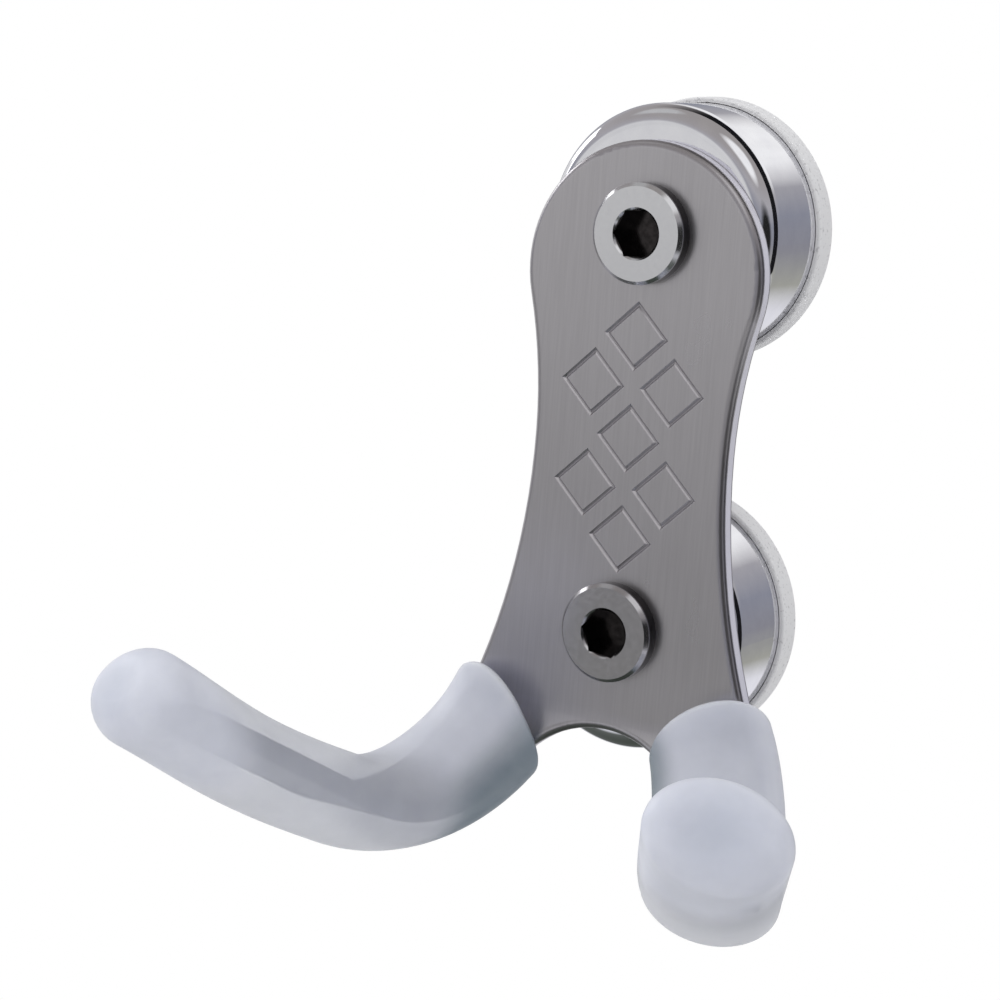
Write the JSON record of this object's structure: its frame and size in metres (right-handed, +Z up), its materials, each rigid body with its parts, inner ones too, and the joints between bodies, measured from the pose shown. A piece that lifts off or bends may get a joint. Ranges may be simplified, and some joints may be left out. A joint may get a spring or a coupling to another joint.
{
  "type": "magnetic hook",
  "caption": "Wall hook: a waisted steel plate with engraved diamonds and splayed upturned arms in soft translucent sleeves, screwed to round pot magnets that hold it to steel.",
  "frame": {"origin": "where the upper screw's axis meets the wall, on the back of the upper pad", "axes": "+Y into the wall, the hook faces -Y, +Z up, +X to the right as seen from the front"},
  "size_m": [0.0748, 0.0552, 0.0777],
  "materials": {
    "plate_steel": "vertically brushed",
    "screw_steel": "polished",
    "cup_nickel": "bright nickel plate",
    "magnet_alloy": "nickel plated",
    "sleeve_silicone": "translucent satin",
    "pad_silicone": "translucent satin"
  },
  "bodies": {
    "root": {"hook_plate": "plate_steel", "left_sleeve": "sleeve_silicone", "right_sleeve": "sleeve_silicone", "upper_screw": "screw_steel", "lower_screw": "screw_steel", "upper_magnet_cup": "cup_nickel", "lower_magnet_cup": "cup_nickel", "upper_magnet": "magnet_alloy", "lower_magnet": "magnet_alloy", "upper_pad": "pad_silicone", "lower_pad": "pad_silicone"}
  },
  "joints": []
}
